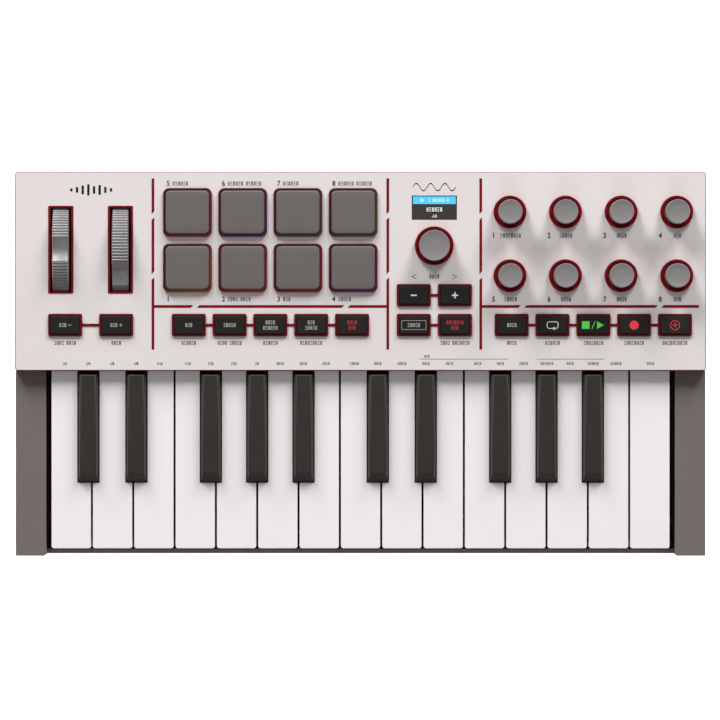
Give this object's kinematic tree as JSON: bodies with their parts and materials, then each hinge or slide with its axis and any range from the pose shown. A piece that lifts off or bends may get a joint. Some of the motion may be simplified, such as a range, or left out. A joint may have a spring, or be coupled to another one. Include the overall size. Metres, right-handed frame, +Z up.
{
  "type": "midi keyboard",
  "caption": "Compact midi controller keyboard with mini keys, velocity pads, endless knobs, a data dial, pitch and modulation wheels, display and push buttons.",
  "frame": {"origin": "middle of the footprint, on the surface the feet stand on", "axes": "+X to the player's right along the keys, +Y towards the rear, +Z up"},
  "size_m": [0.318, 0.177, 0.0445],
  "materials": {
    "pale_panel": "satin light grey with a faint pink cast",
    "crimson_plastic": "dark crimson, semi-gloss",
    "grey_plastic": "fine matt texture, warm dark grey",
    "white_plastic": "semi-gloss white",
    "black_plastic": "satin black",
    "button_plastic": "matt near-black",
    "knob_plastic": "matt mid grey cap on a crimson skirt",
    "wheel_plastic": "satin silver-grey, ribbed",
    "pad_silicone": "matt silicone, warm grey",
    "foot_rubber": "matt black",
    "screw_steel": "zinc-plated",
    "chassis_plastic": "moulded black frame",
    "board": "green circuit board with soldered parts"
  },
  "bodies": {
    "case": {"faceplate": "pale_panel", "top_case": "crimson_plastic", "bottom_case": "grey_plastic", "rubber_feet": "foot_rubber", "case_screws": "screw_steel", "key_chassis": "chassis_plastic", "control_board": "board", "pad_sheet": "pad_silicone"},
    "bend_wheel": {"bend_wheel": "wheel_plastic"},
    "mod_wheel": {"mod_wheel": "wheel_plastic"},
    "data_dial": {"data_dial": "knob_plastic"},
    "knob_1": {"knob_1": "knob_plastic"},
    "knob_6": {"knob_6": "knob_plastic"},
    "white_key_g_1": {"white_key_g_1": "white_plastic"},
    "black_key_f_sharp_1": {"black_key_f_sharp_1": "black_plastic"},
    "white_key_c_2": {"white_key_c_2": "white_plastic"},
    "play_button": {"play_button": "button_plastic"},
    "shift_button": {"shift_button": "button_plastic"},
    "knob_2": {"knob_2": "knob_plastic"},
    "knob_3": {"knob_3": "knob_plastic"},
    "knob_4": {"knob_4": "knob_plastic"},
    "knob_5": {"knob_5": "knob_plastic"},
    "knob_7": {"knob_7": "knob_plastic"},
    "knob_8": {"knob_8": "knob_plastic"},
    "octave_down_button": {"octave_down_button": "button_plastic"},
    "octave_up_button": {"octave_up_button": "button_plastic"},
    "arpeggiator_button": {"arpeggiator_button": "button_plastic"},
    "latch_button": {"latch_button": "button_plastic"},
    "note_repeat_button": {"note_repeat_button": "button_plastic"},
    "tempo_button": {"tempo_button": "button_plastic"},
    "bank_button": {"bank_button": "button_plastic"},
    "minus_button": {"minus_button": "button_plastic"},
    "plus_button": {"plus_button": "button_plastic"},
    "mode_button": {"mode_button": "button_plastic"},
    "undo_button": {"undo_button": "button_plastic"},
    "loop_button": {"loop_button": "button_plastic"},
    "record_button": {"record_button": "button_plastic"},
    "overdub_button": {"overdub_button": "button_plastic"},
    "white_key_c_1": {"white_key_c_1": "white_plastic"},
    "white_key_d_1": {"white_key_d_1": "white_plastic"},
    "white_key_e_1": {"white_key_e_1": "white_plastic"},
    "white_key_f_1": {"white_key_f_1": "white_plastic"},
    "white_key_a_1": {"white_key_a_1": "white_plastic"},
    "white_key_b_1": {"white_key_b_1": "white_plastic"},
    "white_key_d_2": {"white_key_d_2": "white_plastic"},
    "white_key_e_2": {"white_key_e_2": "white_plastic"},
    "white_key_f_2": {"white_key_f_2": "white_plastic"},
    "white_key_g_2": {"white_key_g_2": "white_plastic"},
    "white_key_a_2": {"white_key_a_2": "white_plastic"},
    "white_key_b_2": {"white_key_b_2": "white_plastic"},
    "white_key_c_3": {"white_key_c_3": "white_plastic"},
    "black_key_c_sharp_1": {"black_key_c_sharp_1": "black_plastic"},
    "black_key_d_sharp_1": {"black_key_d_sharp_1": "black_plastic"},
    "black_key_g_sharp_1": {"black_key_g_sharp_1": "black_plastic"},
    "black_key_a_sharp_1": {"black_key_a_sharp_1": "black_plastic"},
    "black_key_c_sharp_2": {"black_key_c_sharp_2": "black_plastic"},
    "black_key_d_sharp_2": {"black_key_d_sharp_2": "black_plastic"},
    "black_key_f_sharp_2": {"black_key_f_sharp_2": "black_plastic"},
    "black_key_g_sharp_2": {"black_key_g_sharp_2": "black_plastic"},
    "black_key_a_sharp_2": {"black_key_a_sharp_2": "black_plastic"}
  },
  "joints": [
    {"name": "bend_wheel_turn", "type": "hinge", "parent": "case", "child": "bend_wheel", "pos_m": [-0.1379, 0.0525, 0.0145], "axis": [-1, 0, 0], "range_deg": [-27, 27], "stiffness_Nm_per_rad": 0.03},
    {"name": "mod_wheel_turn", "type": "hinge", "parent": "case", "child": "mod_wheel", "pos_m": [-0.11045, 0.0525, 0.0145], "axis": [-1, 0, 0], "range_deg": [0, 54]},
    {"name": "data_dial_turn", "type": "hinge", "parent": "case", "child": "data_dial", "pos_m": [0.0339, 0.0543, 0.033], "axis": [0, 0, 1], "continuous": true},
    {"name": "knob_1_turn", "type": "hinge", "parent": "case", "child": "knob_1", "pos_m": [0.0687, 0.0698, 0.033], "axis": [0, 0, 1], "continuous": true},
    {"name": "knob_6_turn", "type": "hinge", "parent": "case", "child": "knob_6", "pos_m": [0.0942, 0.0405, 0.033], "axis": [0, 0, 1], "continuous": true},
    {"name": "white_key_g_1_press", "type": "hinge", "parent": "case", "child": "white_key_g_1", "pos_m": [0, 0.009, 0.021], "axis": [1, 0, 0], "range_deg": [0, 3.5], "stiffness_Nm_per_rad": 0.35, "springref_deg": -6.88},
    {"name": "black_key_f_sharp_1_press", "type": "hinge", "parent": "case", "child": "black_key_f_sharp_1", "pos_m": [0, 0.009, 0.021], "axis": [1, 0, 0], "range_deg": [0, 3.5], "stiffness_Nm_per_rad": 0.35, "springref_deg": -6.88},
    {"name": "white_key_c_2_press", "type": "hinge", "parent": "case", "child": "white_key_c_2", "pos_m": [0, 0.009, 0.021], "axis": [1, 0, 0], "range_deg": [0, 3.5], "stiffness_Nm_per_rad": 0.35, "springref_deg": -6.88},
    {"name": "play_button_press", "type": "slide", "parent": "case", "child": "play_button", "axis": [0, 0, -1], "range_m": [0, 0.0008], "stiffness_N_per_m": 900, "springref_m": -0.0008},
    {"name": "shift_button_press", "type": "slide", "parent": "case", "child": "shift_button", "axis": [0, 0, -1], "range_m": [0, 0.0008], "stiffness_N_per_m": 900, "springref_m": -0.0008},
    {"name": "knob_2_turn", "type": "hinge", "parent": "case", "child": "knob_2", "pos_m": [0.0942, 0.0698, 0.033], "axis": [0, 0, 1], "continuous": true},
    {"name": "knob_3_turn", "type": "hinge", "parent": "case", "child": "knob_3", "pos_m": [0.1198, 0.0698, 0.033], "axis": [0, 0, 1], "continuous": true},
    {"name": "knob_4_turn", "type": "hinge", "parent": "case", "child": "knob_4", "pos_m": [0.1454, 0.0698, 0.033], "axis": [0, 0, 1], "continuous": true},
    {"name": "knob_5_turn", "type": "hinge", "parent": "case", "child": "knob_5", "pos_m": [0.0687, 0.0405, 0.033], "axis": [0, 0, 1], "continuous": true},
    {"name": "knob_7_turn", "type": "hinge", "parent": "case", "child": "knob_7", "pos_m": [0.1198, 0.0405, 0.033], "axis": [0, 0, 1], "continuous": true},
    {"name": "knob_8_turn", "type": "hinge", "parent": "case", "child": "knob_8", "pos_m": [0.1454, 0.0405, 0.033], "axis": [0, 0, 1], "continuous": true},
    {"name": "octave_down_button_press", "type": "slide", "parent": "case", "child": "octave_down_button", "axis": [0, 0, -1], "range_m": [0, 0.0008], "stiffness_N_per_m": 900, "springref_m": -0.0008},
    {"name": "octave_up_button_press", "type": "slide", "parent": "case", "child": "octave_up_button", "axis": [0, 0, -1], "range_m": [0, 0.0008], "stiffness_N_per_m": 900, "springref_m": -0.0008},
    {"name": "arpeggiator_button_press", "type": "slide", "parent": "case", "child": "arpeggiator_button", "axis": [0, 0, -1], "range_m": [0, 0.0008], "stiffness_N_per_m": 900, "springref_m": -0.0008},
    {"name": "latch_button_press", "type": "slide", "parent": "case", "child": "latch_button", "axis": [0, 0, -1], "range_m": [0, 0.0008], "stiffness_N_per_m": 900, "springref_m": -0.0008},
    {"name": "note_repeat_button_press", "type": "slide", "parent": "case", "child": "note_repeat_button", "axis": [0, 0, -1], "range_m": [0, 0.0008], "stiffness_N_per_m": 900, "springref_m": -0.0008},
    {"name": "tempo_button_press", "type": "slide", "parent": "case", "child": "tempo_button", "axis": [0, 0, -1], "range_m": [0, 0.0008], "stiffness_N_per_m": 900, "springref_m": -0.0008},
    {"name": "bank_button_press", "type": "slide", "parent": "case", "child": "bank_button", "axis": [0, 0, -1], "range_m": [0, 0.0008], "stiffness_N_per_m": 900, "springref_m": -0.0008},
    {"name": "minus_button_press", "type": "slide", "parent": "case", "child": "minus_button", "axis": [0, 0, -1], "range_m": [0, 0.0008], "stiffness_N_per_m": 900, "springref_m": -0.0008},
    {"name": "plus_button_press", "type": "slide", "parent": "case", "child": "plus_button", "axis": [0, 0, -1], "range_m": [0, 0.0008], "stiffness_N_per_m": 900, "springref_m": -0.0008},
    {"name": "mode_button_press", "type": "slide", "parent": "case", "child": "mode_button", "axis": [0, 0, -1], "range_m": [0, 0.0008], "stiffness_N_per_m": 900, "springref_m": -0.0008},
    {"name": "undo_button_press", "type": "slide", "parent": "case", "child": "undo_button", "axis": [0, 0, -1], "range_m": [0, 0.0008], "stiffness_N_per_m": 900, "springref_m": -0.0008},
    {"name": "loop_button_press", "type": "slide", "parent": "case", "child": "loop_button", "axis": [0, 0, -1], "range_m": [0, 0.0008], "stiffness_N_per_m": 900, "springref_m": -0.0008},
    {"name": "record_button_press", "type": "slide", "parent": "case", "child": "record_button", "axis": [0, 0, -1], "range_m": [0, 0.0008], "stiffness_N_per_m": 900, "springref_m": -0.0008},
    {"name": "overdub_button_press", "type": "slide", "parent": "case", "child": "overdub_button", "axis": [0, 0, -1], "range_m": [0, 0.0008], "stiffness_N_per_m": 900, "springref_m": -0.0008},
    {"name": "white_key_c_1_press", "type": "hinge", "parent": "case", "child": "white_key_c_1", "pos_m": [0, 0.009, 0.021], "axis": [1, 0, 0], "range_deg": [0, 3.5], "stiffness_Nm_per_rad": 0.35, "springref_deg": -6.88},
    {"name": "white_key_d_1_press", "type": "hinge", "parent": "case", "child": "white_key_d_1", "pos_m": [0, 0.009, 0.021], "axis": [1, 0, 0], "range_deg": [0, 3.5], "stiffness_Nm_per_rad": 0.35, "springref_deg": -6.88},
    {"name": "white_key_e_1_press", "type": "hinge", "parent": "case", "child": "white_key_e_1", "pos_m": [0, 0.009, 0.021], "axis": [1, 0, 0], "range_deg": [0, 3.5], "stiffness_Nm_per_rad": 0.35, "springref_deg": -6.88},
    {"name": "white_key_f_1_press", "type": "hinge", "parent": "case", "child": "white_key_f_1", "pos_m": [0, 0.009, 0.021], "axis": [1, 0, 0], "range_deg": [0, 3.5], "stiffness_Nm_per_rad": 0.35, "springref_deg": -6.88},
    {"name": "white_key_a_1_press", "type": "hinge", "parent": "case", "child": "white_key_a_1", "pos_m": [0, 0.009, 0.021], "axis": [1, 0, 0], "range_deg": [0, 3.5], "stiffness_Nm_per_rad": 0.35, "springref_deg": -6.88},
    {"name": "white_key_b_1_press", "type": "hinge", "parent": "case", "child": "white_key_b_1", "pos_m": [0, 0.009, 0.021], "axis": [1, 0, 0], "range_deg": [0, 3.5], "stiffness_Nm_per_rad": 0.35, "springref_deg": -6.88},
    {"name": "white_key_d_2_press", "type": "hinge", "parent": "case", "child": "white_key_d_2", "pos_m": [0, 0.009, 0.021], "axis": [1, 0, 0], "range_deg": [0, 3.5], "stiffness_Nm_per_rad": 0.35, "springref_deg": -6.88},
    {"name": "white_key_e_2_press", "type": "hinge", "parent": "case", "child": "white_key_e_2", "pos_m": [0, 0.009, 0.021], "axis": [1, 0, 0], "range_deg": [0, 3.5], "stiffness_Nm_per_rad": 0.35, "springref_deg": -6.88},
    {"name": "white_key_f_2_press", "type": "hinge", "parent": "case", "child": "white_key_f_2", "pos_m": [0, 0.009, 0.021], "axis": [1, 0, 0], "range_deg": [0, 3.5], "stiffness_Nm_per_rad": 0.35, "springref_deg": -6.88},
    {"name": "white_key_g_2_press", "type": "hinge", "parent": "case", "child": "white_key_g_2", "pos_m": [0, 0.009, 0.021], "axis": [1, 0, 0], "range_deg": [0, 3.5], "stiffness_Nm_per_rad": 0.35, "springref_deg": -6.88},
    {"name": "white_key_a_2_press", "type": "hinge", "parent": "case", "child": "white_key_a_2", "pos_m": [0, 0.009, 0.021], "axis": [1, 0, 0], "range_deg": [0, 3.5], "stiffness_Nm_per_rad": 0.35, "springref_deg": -6.88},
    {"name": "white_key_b_2_press", "type": "hinge", "parent": "case", "child": "white_key_b_2", "pos_m": [0, 0.009, 0.021], "axis": [1, 0, 0], "range_deg": [0, 3.5], "stiffness_Nm_per_rad": 0.35, "springref_deg": -6.88},
    {"name": "white_key_c_3_press", "type": "hinge", "parent": "case", "child": "white_key_c_3", "pos_m": [0, 0.009, 0.021], "axis": [1, 0, 0], "range_deg": [0, 3.5], "stiffness_Nm_per_rad": 0.35, "springref_deg": -6.88},
    {"name": "black_key_c_sharp_1_press", "type": "hinge", "parent": "case", "child": "black_key_c_sharp_1", "pos_m": [0, 0.009, 0.021], "axis": [1, 0, 0], "range_deg": [0, 3.5], "stiffness_Nm_per_rad": 0.35, "springref_deg": -6.88},
    {"name": "black_key_d_sharp_1_press", "type": "hinge", "parent": "case", "child": "black_key_d_sharp_1", "pos_m": [0, 0.009, 0.021], "axis": [1, 0, 0], "range_deg": [0, 3.5], "stiffness_Nm_per_rad": 0.35, "springref_deg": -6.88},
    {"name": "black_key_g_sharp_1_press", "type": "hinge", "parent": "case", "child": "black_key_g_sharp_1", "pos_m": [0, 0.009, 0.021], "axis": [1, 0, 0], "range_deg": [0, 3.5], "stiffness_Nm_per_rad": 0.35, "springref_deg": -6.88},
    {"name": "black_key_a_sharp_1_press", "type": "hinge", "parent": "case", "child": "black_key_a_sharp_1", "pos_m": [0, 0.009, 0.021], "axis": [1, 0, 0], "range_deg": [0, 3.5], "stiffness_Nm_per_rad": 0.35, "springref_deg": -6.88},
    {"name": "black_key_c_sharp_2_press", "type": "hinge", "parent": "case", "child": "black_key_c_sharp_2", "pos_m": [0, 0.009, 0.021], "axis": [1, 0, 0], "range_deg": [0, 3.5], "stiffness_Nm_per_rad": 0.35, "springref_deg": -6.88},
    {"name": "black_key_d_sharp_2_press", "type": "hinge", "parent": "case", "child": "black_key_d_sharp_2", "pos_m": [0, 0.009, 0.021], "axis": [1, 0, 0], "range_deg": [0, 3.5], "stiffness_Nm_per_rad": 0.35, "springref_deg": -6.88},
    {"name": "black_key_f_sharp_2_press", "type": "hinge", "parent": "case", "child": "black_key_f_sharp_2", "pos_m": [0, 0.009, 0.021], "axis": [1, 0, 0], "range_deg": [0, 3.5], "stiffness_Nm_per_rad": 0.35, "springref_deg": -6.88},
    {"name": "black_key_g_sharp_2_press", "type": "hinge", "parent": "case", "child": "black_key_g_sharp_2", "pos_m": [0, 0.009, 0.021], "axis": [1, 0, 0], "range_deg": [0, 3.5], "stiffness_Nm_per_rad": 0.35, "springref_deg": -6.88},
    {"name": "black_key_a_sharp_2_press", "type": "hinge", "parent": "case", "child": "black_key_a_sharp_2", "pos_m": [0, 0.009, 0.021], "axis": [1, 0, 0], "range_deg": [0, 3.5], "stiffness_Nm_per_rad": 0.35, "springref_deg": -6.88}
  ]
}
